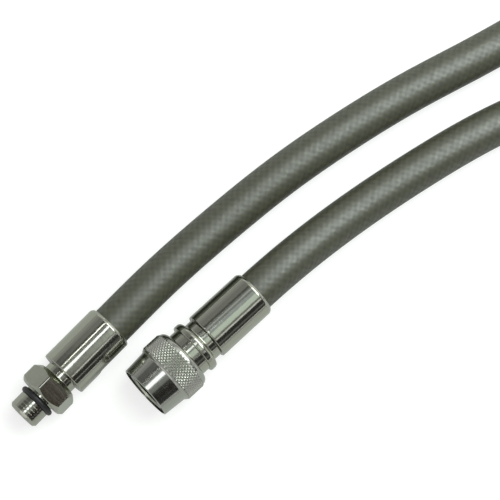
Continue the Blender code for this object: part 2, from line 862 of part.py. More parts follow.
def make_hose():
    """One length of hose from inside one ferrule to inside the other, pushed over both barbs."""
    male = (male_tip_x, male_tip_y, male_height, male_yaw)
    coupling = (coupling_mouth_x, coupling_y, coupling_height, 0.0)
    stretches = []
    for place, neck in ((male, male_neck_end), (coupling, neck_end)):
        front = neck + clearance
        inner = fitting_point(front + ferrule_front_wall + clearance, *place)
        mouth = fitting_point(front + ferrule_length, *place)
        stretches.append((inner, mouth))
    (male_inner, male_mouth), (coupling_inner, coupling_mouth) = stretches
    leave = (male_mouth - male_inner) / np.linalg.norm(male_mouth - male_inner)
    arrive = (coupling_inner - coupling_mouth) / np.linalg.norm(coupling_inner - coupling_mouth)
    free = smooth_route((male_mouth, coupling_mouth), (leave, arrive), route_spacing)
    points = np.vstack([male_inner, free, coupling_inner])
    curve = bpy.data.curves.new("hose", "CURVE")
    curve.dimensions = "3D"
    curve.bevel_depth = hose_diameter / 2 * MM
    curve.bevel_resolution = 3
    curve.use_fill_caps = True
    spline = curve.splines.new("POLY")
    spline.points.add(len(points) - 1)
    for point, place in zip(spline.points, points):
        point.co = (*(place * MM), 1.0)
    tube = bpy.data.objects.new("hose_tube", curve)
    PART.objects.link(tube)
    bpy.context.view_layer.update()
    evaluated = tube.evaluated_get(bpy.context.evaluated_depsgraph_get())
    mesh = bpy.data.meshes.new_from_object(evaluated)
    bm = bmesh.new()
    bm.from_mesh(mesh)
    bmesh.ops.remove_doubles(bm, verts=bm.verts, dist=0.000001)
    bmesh.ops.recalc_face_normals(bm, faces=bm.faces)
    bm.to_mesh(mesh)
    bm.free()
    hose = add_object("hose", mesh, RUBBER, None)
    hose.matrix_world = tube.matrix_world.copy()
    bpy.data.objects.remove(tube, do_unlink=True)
    for name, parent, neck in (("male_hose_bore", MALE, male_neck_end),
                               ("coupling_hose_bore", COUPLING, neck_end)):
        front = neck + clearance
        start = front + ferrule_front_wall
        end = front + barb_length + clearance
        cut(hose, hose_end_cutter(name, parent, start, end))
    return settle(hose)


make_coupling_body()
make_balls()
make_retaining_ring()
make_socket_seal()
make_sleeve()
make_sleeve_spring()
settle(make_ferrule("coupling_ferrule", COUPLING, neck_end + clearance))
make_core_plug()
make_core_barrel()
make_core_gasket()
make_core_pin()
make_poppet_seal()
make_core_spring()
make_male_fitting()
make_o_ring()
make_male_ferrule()
make_hose()
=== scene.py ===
"""Low pressure inflator hose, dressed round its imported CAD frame.

Places are in metres, in the row's frame. A turned piece's profile is in millimetres, as points of
(radius, distance behind the fitting's open end), some with a third number for their rounding.
"""

import json
import math

import bmesh
import bpy
import numpy as np
from mathutils import Matrix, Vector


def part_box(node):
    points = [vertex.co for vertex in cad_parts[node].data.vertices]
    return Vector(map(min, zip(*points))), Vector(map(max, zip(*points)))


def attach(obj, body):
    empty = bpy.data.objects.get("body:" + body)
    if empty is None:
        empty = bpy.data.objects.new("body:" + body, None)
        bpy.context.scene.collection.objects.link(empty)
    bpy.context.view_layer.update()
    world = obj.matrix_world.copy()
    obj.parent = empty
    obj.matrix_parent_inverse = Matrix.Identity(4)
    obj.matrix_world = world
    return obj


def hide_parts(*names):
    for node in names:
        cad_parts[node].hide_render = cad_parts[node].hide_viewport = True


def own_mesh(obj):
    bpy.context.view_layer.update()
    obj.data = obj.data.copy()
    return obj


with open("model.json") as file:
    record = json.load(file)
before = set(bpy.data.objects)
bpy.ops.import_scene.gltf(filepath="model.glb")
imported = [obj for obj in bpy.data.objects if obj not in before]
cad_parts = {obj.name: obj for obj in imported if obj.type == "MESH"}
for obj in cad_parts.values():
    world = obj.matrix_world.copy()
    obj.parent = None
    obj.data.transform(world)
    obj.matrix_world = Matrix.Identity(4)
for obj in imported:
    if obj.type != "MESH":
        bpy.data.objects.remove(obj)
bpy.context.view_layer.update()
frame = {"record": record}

# The two fittings' axes
# Every metal piece was turned in a lathe, so each is drawn round the axis of its own fitting. The
# frame's mounts give the axes' directions, and the O-rings that sit on them give their places.

MM = 0.001
UP = np.array([0.0, 0.0, 1.0])
sharp_edge = math.radians(32)


def fitting_axis(mount_name, ring, ring_distance):
    """Open end, direction towards the hose, sideways and up of one fitting, as four vectors.

    The ring's middle is a point of the axis, ring_distance millimetres behind the open end.
    """
    mount = next(m for m in frame["record"]["mounts"] if m["name"] == mount_name)
    along = -np.array(mount["axis"])
    low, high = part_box(ring)
    middle = (np.array(low) + np.array(high)) / 2
    return middle - ring_distance * MM * along, along, np.cross(UP, along), UP


MALE = fitting_axis("port_tip", "male_o_ring", 6.1)
COUPLING = fitting_axis("socket_mouth", "socket_seal", 8.43)


def round_axis(axis, radius, angle, distance):
    """Places from millimetres round an axis: distance along it, radius from it, and the angle
    from sideways towards up. The three are arrays of one shape, or are stretched to it."""
    origin, along, across, up = axis
    radius, angle, distance = np.broadcast_arrays(radius, angle, distance)
    out = across * np.cos(angle)[..., None] + up * np.sin(angle)[..., None]
    return origin + MM * (along * distance[..., None] + out * radius[..., None])


def grid_piece(name, places, closed_rows=False, fold=None):
    """A mesh from a grid of places (row, column, xyz) whose columns run round and meet.

    Each square of the grid is a face. Where fold is 1 or 2 the square is split along its first or
    its second diagonal. The UV map holds millimetres: u is the mean length round the piece and v
    the mean length along its rows. Faces are turned outwards by the sign of the mesh's volume,
    a row that shrinks to a point becomes one vertex, and edges bent by over sharp_edge are sharp.
    """
    rows, columns = places.shape[:2]
    order = np.arange(rows * columns).reshape(rows, columns)
    ring = np.hstack([order, order[:, :1]])
    ring = np.vstack([ring, ring[:1]]) if closed_rows else ring
    flat = places.reshape(-1, 3)
    grid = flat[ring]
    u = np.linalg.norm(np.diff(grid, axis=1), axis=2).mean(axis=0).cumsum() / MM
    v = np.linalg.norm(np.diff(grid, axis=0), axis=2).mean(axis=1).cumsum() / MM
    u, v = np.meshgrid(np.append(0.0, u), np.append(0.0, v))
    corner = [(slice(None, -1), slice(None, -1)), (slice(None, -1), slice(1, None)),
              (slice(1, None), slice(1, None)), (slice(1, None), slice(None, -1))]
    quads = np.stack([ring[c] for c in corner], axis=-1).reshape(-1, 4)
    marks = np.stack([np.stack([u[c], v[c]], axis=-1) for c in corner], axis=-2).reshape(-1, 4, 2)
    volume = np.einsum("ij,ij->", flat[quads[:, 0]],
                       np.cross(flat[quads[:, 1]] - flat[quads[:, 3]],
                                flat[quads[:, 2]] - flat[quads[:, 0]]))
    if volume < 0:
        quads, marks = quads[:, ::-1], marks[:, ::-1]
    split = np.zeros(len(quads), int) if fold is None else fold.reshape(-1)
    faces, corners = [quads[split == 0]], [marks[split == 0]]
    for kind in (1, 2):
        pair = [(0, 1, 2), (0, 2, 3)] if (kind == 1) == (volume >= 0) else [(1, 2, 3), (1, 3, 0)]
        for three in pair:
            faces.append(quads[split == kind][:, three])
            corners.append(marks[split == kind][:, three])
    loops = np.concatenate([f.ravel() for f in faces])
    totals = np.concatenate([np.full(len(f), f.shape[1]) for f in faces])
    mesh = bpy.data.meshes.new(name)
    mesh.vertices.add(len(flat))
    mesh.vertices.foreach_set("co", flat.ravel())
    mesh.loops.add(len(loops))
    mesh.loops.foreach_set("vertex_index", loops)
    mesh.polygons.add(len(totals))
    mesh.polygons.foreach_set("loop_start", np.append(0, totals.cumsum()[:-1]))
    mesh.update(calc_edges=True)
    layer = mesh.uv_layers.new(name="surface_mm")
    layer.data.foreach_set("uv", np.concatenate([c.reshape(-1, 2) for c in corners]).ravel())
    work = bmesh.new()
    work.from_mesh(mesh)
    bmesh.ops.remove_doubles(work, verts=work.verts, dist=1e-7)
    work.to_mesh(mesh)
    work.free()
    mesh.shade_smooth()
    mesh.set_sharp_from_angle(angle=sharp_edge)
    piece = bpy.data.objects.new(name, mesh)
    bpy.context.scene.collection.objects.link(piece)
    return piece


def capped(places):
    """The same grid with its first and last rows closed over their middles."""
    first, last = places[:1].mean(axis=1, keepdims=True), places[-1:].mean(axis=1, keepdims=True)
    columns = places.shape[1]
    return np.concatenate([np.repeat(first, columns, 1), places, np.repeat(last, columns, 1)])


def linear(colour):
    """A "#rrggbb" sRGB colour in linear light: each channel goes through the sRGB curve."""
    channel = np.array([int(colour[k:k + 2], 16) for k in (1, 3, 5)]) / 255
    low = channel / 12.92
    return (*np.where(channel <= 0.04045, low, ((channel + 0.055) / 1.055) ** 2.4), 1.0)


def add_node(tree, kind, sockets, **settings):
    """One shader node. A socket takes a value, or the output socket that feeds it."""
    made = tree.nodes.new("ShaderNode" + kind)
    for name, value in settings.items():
        setattr(made, name, value)
    for name, value in sockets.items():
        if isinstance(value, bpy.types.NodeSocket):
            tree.links.new(value, made.inputs[name])
        else:
            made.inputs[name].default_value = value
    return made


def new_material(name):
    """An empty material: its node tree and its Principled BSDF."""
    material = bpy.data.materials.new(name)
    material.use_nodes = True
    return material, material.node_tree, material.node_tree.nodes["Principled BSDF"]


def finish_piece(piece, material, body, slot, *nodes):
    """Give a piece its material, hang it on its body, and hide the CAD nodes it stands for."""
    piece.data.materials.append(material)
    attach(piece, body)
    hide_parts(*nodes)


# The hose
# A rubber tube over a braid, wrapped in cloth while it was cured, so that its skin keeps a fine
# diamond pattern. Both ends are pushed over barbed stems, deep inside the ferrules. It lies flat
# on the ground, doubled back in one wide loop.

# The hose's own sizes are in metres. It is laid a hair above the ground, and over each stem, as
# deep as stem_reach, its bore is stretched to the radius stem_room.
hose_diameter, hose_bore, hose_lift = 0.0122, 0.0064, 0.00005
stem_room, stem_reach = 0.00385, 0.016

# Millimetres along the fittings' axes. The hose begins hose_inset behind each ferrule's front.
male_ferrule_front, coupling_ferrule_front, ferrule_length = 16.55, 23.9, 19.1
hose_inset = 1.55

# Metres, with heights above the lying hose. The curve has route_steps places from point to point.
route_steps = 48
hose_route = np.array([
    (0.019, 0.01235, 0.0011), (0.043, 0.0121, 0.00015), (0.066, 0.0108, 0), (0.090, 0.0077, 0),
    (0.114, 0.0031, 0), (0.133, -0.0016, 0), (0.148, -0.0050, 0), (0.164, -0.0070, 0),
    (0.180, -0.0034, 0), (0.195, 0.0056, 0), (0.214, 0.0148, 0), (0.238, 0.0172, 0),
    (0.261, 0.0098, 0), (0.279, -0.0055, 0), (0.290, -0.0265, 0), (0.292, -0.050, 0),
    (0.285, -0.073, 0), (0.270, -0.091, 0), (0.2485, -0.102, 0), (0.225, -0.104, 0),
    (0.203, -0.096, 0), (0.1845, -0.080, 0), (0.173, -0.060, 0), (0.162, -0.043, 0),
    (0.147, -0.030, 0), (0.127, -0.0216, 0), (0.103, -0.016, 0), (0.079, -0.0121, 0.0002),
    (0.058, -0.0099, 0.00195),
])


def on_axis(axis, distance):
    """The place on an axis that lies distance millimetres behind its open end."""
    return axis[0] + distance * MM * axis[1]


male_mouth = on_axis(MALE, male_ferrule_front + ferrule_length)
coupling_mouth = on_axis(COUPLING, coupling_ferrule_front + ferrule_length)


def hose_line(rows):
    """The hose's centreline from inside one ferrule to inside the other, evenly spaced.

    A cubic spline over the chord length, clamped to the fittings' axes: the tangents at the
    route's points solve one set of linear equations that lets the curvature run on unbroken.
    """
    lying = hose_route + [0, 0, hose_diameter / 2 + hose_lift]
    knots = np.vstack([male_mouth, lying, coupling_mouth])
    chord = np.diff(knots, axis=0)
    step = np.linalg.norm(chord, axis=1)
    slope = chord / step[:, None]
    inner = np.arange(1, len(knots) - 1)
    matrix = np.eye(len(knots))
    matrix[inner, inner - 1] = step[1:]
    matrix[inner, inner] = 2 * (step[:-1] + step[1:])
    matrix[inner, inner + 1] = step[:-1]
    target = np.vstack([MALE[1], 3 * (step[1:, None] * slope[:-1] + step[:-1, None] * slope[1:]),
                        -COUPLING[1]])
    tangent = np.linalg.solve(matrix, target)
    t = np.linspace(0, 1, route_steps, endpoint=False)[:, None, None]
    a, b = knots[:-1], knots[1:]
    u, v = tangent[:-1] * step[:, None], tangent[1:] * step[:, None]
    curve = ((2 * t**3 - 3 * t**2 + 1) * a + (t**3 - 2 * t**2 + t) * u
             + (3 * t**2 - 2 * t**3) * b + (t**3 - t**2) * v)
    free = curve.transpose(1, 0, 2).reshape(-1, 3)
    free[:, 2] = np.maximum(free[:, 2], hose_diameter / 2 + hose_lift)
    line = np.vstack([on_axis(MALE, male_ferrule_front + hose_inset), free, coupling_mouth,
                      on_axis(COUPLING, coupling_ferrule_front + hose_inset)])
    run = np.append(0, np.linalg.norm(np.diff(line, axis=0), axis=1).cumsum())
    places = np.linspace(0, run[-1], rows)
    return np.stack([np.interp(places, run, line[:, k]) for k in range(3)], axis=1), run[-1]


def carried(line, radius, angle, pole=UP):
    """A tube's surface: at each place of the line, a ring of that radius square to the line. The
    ring's angles start from the side, which is square to the line and to the pole."""
    forward = np.gradient(line, axis=0)
    forward /= np.linalg.norm(forward, axis=1, keepdims=True)
    side = np.cross(pole, forward)
    side /= np.linalg.norm(side, axis=1, keepdims=True)
    over = np.cross(forward, side)
    out = (np.cos(angle)[None, :, None] * side[:, None]
           + np.sin(angle)[None, :, None] * over[:, None])
    return line[:, None] + np.asarray(radius)[..., None] * out


skin_rows, bore_rows, hose_columns = 900, 90, 96
weave_round, weave_pitch, weave_relief, weave_share = 16, 2.2, 0.05, 0.18
blotch_width = 2.0
hose_centre, hose_length = hose_line(skin_rows)
hose_angle = np.linspace(-math.pi / 2, 3 * math.pi / 2, hose_columns, endpoint=False)
skin = carried(hose_centre, hose_diameter / 2, hose_angle)
bore_centre, _ = hose_line(bore_rows)
end_distance = np.minimum(np.linspace(0, hose_length, bore_rows),
                          np.linspace(hose_length, 0, bore_rows))
bore_radius = np.where(end_distance < stem_reach, stem_room, hose_bore / 2)[:, None]
bore_wall = carried(bore_centre, bore_radius, hose_angle)
hose = grid_piece("hose_tube", np.concatenate([skin, bore_wall[::-1]]), closed_rows=True)


def wrapped_rubber():
    """Nitrile and neoprene rubber cured in a cloth wrap: dull, dark olive grey. The weave has
    pressed a diamond pattern into it, the product of two waves, one round and one along the
    hose, of which weave_share is added to soft blotches. The worn crests are a little paler and
    smoother than the hollows. The sizes of weave and blotches are in millimetres."""
    material, tree, shader = new_material("cloth-wrapped neoprene")
    place = add_node(tree, "UVMap", {}, uv_map="surface_mm")
    across = math.pi * hose_diameter / MM / weave_round
    turns = add_node(tree, "VectorMath", {0: place.outputs[0], 1: (2 * math.pi / across,
                                          2 * math.pi / weave_pitch, 0)}, operation="MULTIPLY")
    split = add_node(tree, "SeparateXYZ", {0: turns.outputs[0]})
    round_wave = add_node(tree, "Math", {0: split.outputs[0]}, operation="SINE")
    long_wave = add_node(tree, "Math", {0: split.outputs[1]}, operation="SINE")
    weave = add_node(tree, "Math", {0: round_wave.outputs[0], 1: long_wave.outputs[0]},
                     operation="MULTIPLY")
    blotch = add_node(tree, "TexNoise", {"Vector": place.outputs[0], "Scale": 1 / blotch_width,
                                         "Detail": 4.0})
    worn = add_node(tree, "Math", {0: weave.outputs[0], 1: weave_share, 2: blotch.outputs["Fac"]},
                    operation="MULTIPLY_ADD")
    tone = add_node(tree, "Mix", {0: worn.outputs[0], 6: linear("#242419"), 7: linear("#4b4c3a")},
                    data_type="RGBA")
    tree.links.new(tone.outputs[2], shader.inputs["Base Color"])
    dull = add_node(tree, "MapRange", {"Value": worn.outputs[0], "From Min": 0.2,
                                       "From Max": 0.8, "To Min": 0.54, "To Max": 0.36})
    tree.links.new(dull.outputs[0], shader.inputs["Roughness"])
    bump = add_node(tree, "Bump", {"Height": worn.outputs[0], "Distance": 2 * weave_relief * MM,
                                   "Strength": 1.0})
    tree.links.new(bump.outputs[0], shader.inputs["Normal"])
    shader.inputs["Specular IOR Level"].default_value = 1.0
    return material


finish_piece(hose, wrapped_rubber(), "hose_assembly", "hose_rubber", "hose")

# The male fitting
# One turned and milled piece of nickel-plated brass: a 3/8 inch thread of 24 turns to the inch, an
# O-ring groove, a 14 mm hexagon, a collar, a neck, and the barbed stem that the hose is pushed on.

# The thread is cut far shallower than on the real piece, whose ribs hardly show.
thread_radius, thread_depth, thread_pitch = 4.75, 0.03, 25.4 / 24
thread_length, thread_end, thread_runout, half_valley = 4.95, 4.9, 0.5, 0.22
tip_radius, tip_slope = 4.08, 0.95

hex_half, hex_slope = 7.0, 0.9
hex_front, hex_front_radius = 7.45, 6.8
hex_rear, hex_rear_radius = 13.9, 6.45
hex_top_facet = math.radians(104.6)
hex_corner_round = math.radians(2.5)


def rounded(outline, closed=False, longest=None):
    """A turned outline with its corners rounded.

    Each corner is cut by a quadratic curve that starts its third number (0.03 mm where it has
    none) before it and ends as far behind it. A point just outside either end of the curve keeps
    the straight parts straight. Parts longer than longest are divided.
    """
    corner = np.array([point[:2] for point in outline], float)
    size = np.array([point[2] if len(point) > 2 else 0.03 for point in outline])
    before, after = np.roll(corner, 1, 0) - corner, np.roll(corner, -1, 0) - corner
    room_before, room_after = np.linalg.norm(before, axis=1), np.linalg.norm(after, axis=1)
    before /= room_before[:, None]
    after /= room_after[:, None]
    size = np.minimum(size, 0.45 * np.minimum(room_before, room_after))[:, None]
    guard = size + np.minimum(0.05, 0.04 * np.minimum(room_before, room_after))[:, None]
    t = np.linspace(0, 1, 5)[None, :, None]
    start, end = (corner + size * before)[:, None], (corner + size * after)[:, None]
    bend = (1 - t)**2 * start + 2 * t * (1 - t) * corner[:, None] + t**2 * end
    line = np.concatenate([(corner + guard * before)[:, None], bend,
                           (corner + guard * after)[:, None]], axis=1)
    line = line.reshape(-1, 2) if closed else np.vstack([corner[:1], line[1:-1].reshape(-1, 2),
                                                         corner[-1:]])
    if longest:
        run = np.append(0, np.linalg.norm(np.diff(line, axis=0), axis=1).cumsum())
        places = np.union1d(run, np.arange(0, run[-1], longest))
        line = np.stack([np.interp(places, run, line[:, k]) for k in (0, 1)], axis=1)
    return line


def full_turn(columns):
    """Angles evenly round an axis."""
    return np.linspace(0, 2 * math.pi, columns, endpoint=False)


def turned(name, axis, outline, columns=128, closed=True, longest=None):
    """A lathe piece: the outline's points (radius, distance) go round the axis. An open outline
    begins and ends on the axis, and a closed one has a bore."""
    line = rounded(outline, closed, longest)
    places = round_axis(axis, line[:, :1], full_turn(columns)[None], line[:, 1:])
    return grid_piece(name, places, closed_rows=closed)


def barbed_stem(start):
    """Outline of a hose barb: three saw teeth that lean towards the hose's open end, then a
    cone at the stem's end."""
    root, crest, pitch, cone, length = 3.2, 3.6, 3.6125, 13.85, 14.45
    teeth = [point for tip in (start + pitch, start + 2 * pitch, start + 3 * pitch)
             for point in ((root, tip - 0.1), (crest, tip), (root, tip + 0.8 * pitch))]
    return [(root, start), *teeth, (root, start + cone), (2.7, start + length, 0.1)]


def hex_radius(angle):
    """Distance from the axis to the hexagon's side, half the width over the cosine of the angle
    from the nearest facet's middle. The last degrees before each corner bend over smoothly."""
    off = np.abs((angle - hex_top_facet + math.pi / 6) % (math.pi / 3) - math.pi / 6)
    edge = math.pi / 6 - hex_corner_round
    into = np.maximum(off - edge, 0)
    slope = hex_half * math.sin(edge) / math.cos(edge)**2
    bend = into - into**2 / (2 * hex_corner_round)
    return hex_half / np.cos(np.minimum(off, edge)) + slope * bend


def hexagon_rows(angle):
    """Rows of (radius, distance) over the hexagon: a turned cone meets each flat in an arc, and
    the rows run exactly through that arc, at the front and, mirrored, at the rear."""
    flat = hex_radius(angle)[None]
    rise = np.linspace(0, 1, 6)[:, None]
    front = hex_front_radius + rise * (flat - hex_front_radius)
    rear = hex_rear_radius + rise[::-1] * (flat - hex_rear_radius)
    down, up = hex_slope * (front - hex_front_radius), hex_slope * (rear - hex_rear_radius)
    start, end = hex_front + down[-1:], hex_rear - up[:1]
    middle = start + np.array([0.03, 0.5, 0.97])[:, None] * (end - start)
    radius = np.concatenate([front, np.repeat(flat, 3, 0), rear])
    distance = np.concatenate([hex_front + down, middle, hex_rear - up])
    return np.stack([radius, distance], axis=-1)


def thread_rows(angle, count=112):
    """Rows of (radius, distance) over the thread: a flat-crested V whose depth follows the place
    along the axis less the pitch times the share of a turn, so that its crest runs right-handed.

    The valley is twice half_valley wide, as a share of the pitch, and it runs out to nothing at
    thread_end. A cone at the tip cuts the first turn.
    """
    distance = np.linspace(0.0, thread_length, count)[:, None]
    phase = (distance / thread_pitch - angle[None] / (2 * math.pi)) % 1.0
    valley = np.clip(1.0 - np.abs(phase - 0.5) / half_valley, 0, 1)
    runout = np.clip((thread_end - distance) / thread_runout, 0, 1)
    radius = thread_radius - thread_depth * valley * runout
    radius = np.minimum(radius, tip_radius + tip_slope * distance)
    return np.stack([radius, np.broadcast_to(distance, radius.shape)], axis=-1)


def all_round(outline, columns):
    """Rows of (radius, distance) that are the same at every column."""
    return np.repeat(rounded(outline)[:, None], columns, 1)


facet_columns = np.radians([-30, -29.2, -28.4, -27.6, *np.linspace(-26, 26, 21), 27.6, 28.4, 29.2])
male_angle = (hex_top_facet + np.radians(np.arange(0, 360, 60))[:, None] + facet_columns).ravel()
male_columns = len(male_angle)
male_rows = np.concatenate([
    all_round([(1.9, 32.55), (1.9, 9.5), (2.3, 9.0), (2.3, 0.35), (2.6, 0.05), (4.05, 0.0)],
              male_columns),
    thread_rows(male_angle)[1:],
    all_round([(4.7, 4.98, 0.1), (3.6, 5.05, 0.15), (3.6, 6.85, 0.15), (4.5, 6.85, 0.15),
               (4.5, 7.45), (6.75, 7.45)], male_columns),
    hexagon_rows(male_angle),
    all_round([(6.35, 13.93, 0.03), (5.9, 14.3, 0.1), (5.05, 14.35, 0.25),
               (5.05, 16.3, 0.12), (4.2, 16.3), (4.2, 18.1), *barbed_stem(18.1)], male_columns),
])
male_fitting = grid_piece("male_fitting_turned", round_axis(
    MALE, male_rows[..., 0], male_angle[None], male_rows[..., 1]), closed_rows=True)


def nickel_plate(name, colour, dullness, ripple, ripple_length=2.2):
    """Nickel plate on turned brass: a grey mirror with a faint green cast. The plate copies the
    tool's marks, faint rings round each piece that are drawn coarser than real ones so that they
    show, and the surface has shallow ripples. Lengths and heights are in millimetres, and a mark
    is mark_share of a ripple's height."""
    mark_length, mark_spacing, mark_share, wear_spread = 25.0, 1 / 3, 0.06, 0.03
    material, tree, shader = new_material(name)
    place = add_node(tree, "UVMap", {}, uv_map="surface_mm")
    rings = add_node(tree, "Mapping", {"Vector": place.outputs[0],
                                       "Scale": (1 / mark_length, 1 / mark_spacing, 1.0)})
    marks = add_node(tree, "TexNoise", {"Vector": rings.outputs[0], "Scale": 1.0, "Detail": 2.0})
    swell = add_node(tree, "TexNoise", {"Vector": place.outputs[0], "Scale": 1 / ripple_length,
                                        "Detail": 1.0})
    height = add_node(tree, "Math", {0: marks.outputs["Fac"], 1: mark_share,
                                     2: swell.outputs["Fac"]}, operation="MULTIPLY_ADD")
    bump = add_node(tree, "Bump", {"Height": height.outputs[0], "Distance": ripple * MM,
                                   "Strength": 1.0})
    tree.links.new(bump.outputs[0], shader.inputs["Normal"])
    wear = add_node(tree, "MapRange", {"Value": marks.outputs["Fac"], "From Min": 0.3,
                                       "From Max": 0.7, "To Min": dullness - wear_spread,
                                       "To Max": dullness + wear_spread})
    tree.links.new(wear.outputs[0], shader.inputs["Roughness"])
    shader.inputs["Base Color"].default_value = linear(colour)
    shader.inputs["Metallic"].default_value = 1.0
    return material


bright_nickel = nickel_plate("bright nickel plate", "#b2b4a7", 0.12, 0.012)
finish_piece(male_fitting, bright_nickel, "hose_assembly", "plated_brass", "male_fitting")

# The male O-ring
# Moulded nitrile rubber, stretched into the groove between the thread and the hexagon.


def ring_of_cord(name, axis, middle_radius, middle_distance, section, columns=96):
    """An O-ring: a round section of that thickness, carried round the axis."""
    angle = full_turn(20)[::-1, None]
    places = round_axis(axis, middle_radius + section / 2 * np.cos(angle), full_turn(columns)[None],
                        middle_distance + section / 2 * np.sin(angle))
    return grid_piece(name, places, closed_rows=True)


def moulded_nitrile():
    """Moulded nitrile rubber: black, with the soft even sheen of a polished mould."""
    material, _, shader = new_material("moulded nitrile rubber")
    shader.inputs["Base Color"].default_value = linear("#1c1c1d")
    shader.inputs["Roughness"].default_value = 0.42
    return material


nitrile = moulded_nitrile()
male_o_ring = ring_of_cord("male_o_ring_cord", MALE, 4.7, 5.95, 1.7)
finish_piece(male_o_ring, nitrile, "hose_assembly", "seal_rubber", "male_o_ring")

# The two ferrules
# Cups of plated brass tube, pushed over the hose's ends and crimped down onto the barbs. The jaw
# left one long flat in the male end's ferrule.

ferrule_radius = 7.325
jaw_depth, jaw_start, jaw_run, jaw_angle = 0.3, 7.0, 1.5, math.pi
least_facing = 0.2


def ferrule_outline(front):
    """A cup with a hole in its front wall, and its rear edge turned in a little."""
    rear = front + ferrule_length
    return [(4.45, front), (ferrule_radius, front, 0.38), (ferrule_radius, rear - 0.8, 0.3),
            (ferrule_radius - 0.55, rear, 0.25), (6.35, rear, 0.1), (6.35, front + 1.3),
            (4.45, front + 1.3)]


def ferrule(name, axis, front, jaw=0.0):
    """The cup round its axis. Where the jaw pressed, the radius is no more than the distance to
    a flat plane, which sinks in smoothly over jaw_run. Facing is the cosine of the angle from
    the jaw, and under least_facing the plane is too far off to cut."""
    line = rounded(ferrule_outline(front), closed=True, longest=0.5)
    radius, distance = line[:, :1], line[:, 1:]
    angle = full_turn(160)[None]
    sink = np.clip((distance - front - jaw_start) / jaw_run, 0, 1)
    sink = jaw * sink**2 * (3 - 2 * sink)
    facing = np.cos(angle - jaw_angle)
    plane = np.where(facing > least_facing,
                     (ferrule_radius - sink) / np.maximum(facing, least_facing), np.inf)
    radius = np.where(sink > 0, np.minimum(radius, plane), radius)
    return grid_piece(name, round_axis(axis, radius, angle, distance), closed_rows=True)


crimped_nickel = nickel_plate("crimped nickel plate", "#b2b4a7", 0.11, 0.012, ripple_length=1.1)
male_ferrule = ferrule("male_ferrule_cup", MALE, male_ferrule_front, jaw_depth)
finish_piece(male_ferrule, bright_nickel, "hose_assembly", "plated_brass", "male_ferrule")
coupling_ferrule = ferrule("coupling_ferrule_cup", COUPLING, coupling_ferrule_front)
finish_piece(coupling_ferrule, crimped_nickel, "hose_assembly", "plated_brass", "coupling_ferrule")

# The coupling's body
# Turned from one bar of brass and nickel plated: the socket with its seal groove, the barrel that
# the sleeve slides on, the flange for the fingers, the neck and the barbed stem. Six tapered holes
# are drilled into the socket for the balls.

ball_distance, ball_circle, ball_radius = 4.18, 5.3, 1.0
ball_angle = np.radians(np.arange(0, 360, 60) - 90)
body_outline = [
    (4.9, 0.85, 0.1), (5.35, 0.4, 0.05), (6.3, 0.4, 0.12), (6.3, 0.95), (5.6, 0.95), (5.6, 2.05),
    (6.3, 2.05), (6.3, 12.4), (7.2, 12.4, 0.15), (7.2, 18.5), (8.15, 18.5, 0.7),
    (8.15, 20.1, 0.5), (7.8, 20.8, 0.5), (6.4, 21.3, 0.35), (6.4, 23.65, 0.12), (4.2, 23.65),
    (4.2, 25.45), *barbed_stem(25.45), (1.9, 39.9), (1.9, 28.4), (2.4, 28.4), (2.4, 18.1),
    (2.85, 15.9), (2.85, 12.4), (4.9, 12.4), (4.9, 9.08), (5.85, 9.08), (5.85, 7.78), (4.9, 7.78),
]


def drill(piece, drills):
    """Cut the drills' shapes out of a piece, and keep the piece as a plain mesh."""
    for tool in drills:
        hole = piece.modifiers.new("hole", "BOOLEAN")
        hole.operation, hole.solver, hole.object = "DIFFERENCE", "EXACT", tool
    bpy.context.view_layer.update()
    view = bpy.context.evaluated_depsgraph_get()
    cut = bpy.data.meshes.new_from_object(piece.evaluated_get(view))
    piece.modifiers.clear()
    piece.data = cut
    for tool in drills:
        bpy.data.objects.remove(tool, do_unlink=True)
    cut.set_sharp_from_angle(angle=sharp_edge)


def spoke(axis, angle, distance):
    """The axis of a hole that is drilled in towards the fitting's axis at one angle round it."""
    origin, along, across, up = axis
    out = across * math.cos(angle) + up * math.sin(angle)
    return origin + distance * MM * along, out, along, np.cross(out, along)


coupling_body = turned("coupling_body_turned", COUPLING, body_outline, columns=144)
pockets = [turned(f"pocket_drill_{k}", spoke(COUPLING, angle, ball_distance),
                  [(0, 3.9, 0), (0.57, 3.9, 0), (1.93, 7.3, 0), (0, 7.3, 0)], columns=32,
                  closed=False) for k, angle in enumerate(ball_angle)]
drill(coupling_body, pockets)
finish_piece(coupling_body, bright_nickel, "hose_assembly", "plated_brass", "coupling_body")

socket_seal = ring_of_cord("socket_seal_cord", COUPLING, 5.2, 8.43, 1.0)
finish_piece(socket_seal, nitrile, "hose_assembly", "seal_rubber", "socket_seal")

# The valve core
# A small spring valve of unplated brass, screwed into the body behind the socket. Its pin stands
# into the socket, and is pushed in by whatever plugs in there.


def turned_brass():
    """Unplated brass as it leaves the lathe: yellow, with fine rings from the tool, whose length
    and spacing are in millimetres."""
    mark_length, mark_spacing = 10.0, 1 / 12
    material, tree, shader = new_material("turned brass")
    place = add_node(tree, "UVMap", {}, uv_map="surface_mm")
    rings = add_node(tree, "Mapping", {"Vector": place.outputs[0],
                                       "Scale": (1 / mark_length, 1 / mark_spacing, 1.0)})
    marks = add_node(tree, "TexNoise", {"Vector": rings.outputs[0], "Scale": 1.0, "Detail": 2.0})
    tone = add_node(tree, "Mix", {0: marks.outputs["Fac"], 6: linear("#b08d4a"),
                                  7: linear("#cdb06e")}, data_type="RGBA")
    tree.links.new(tone.outputs[2], shader.inputs["Base Color"])
    shader.inputs["Metallic"].default_value = 1.0
    shader.inputs["Roughness"].default_value = 0.3
    return material


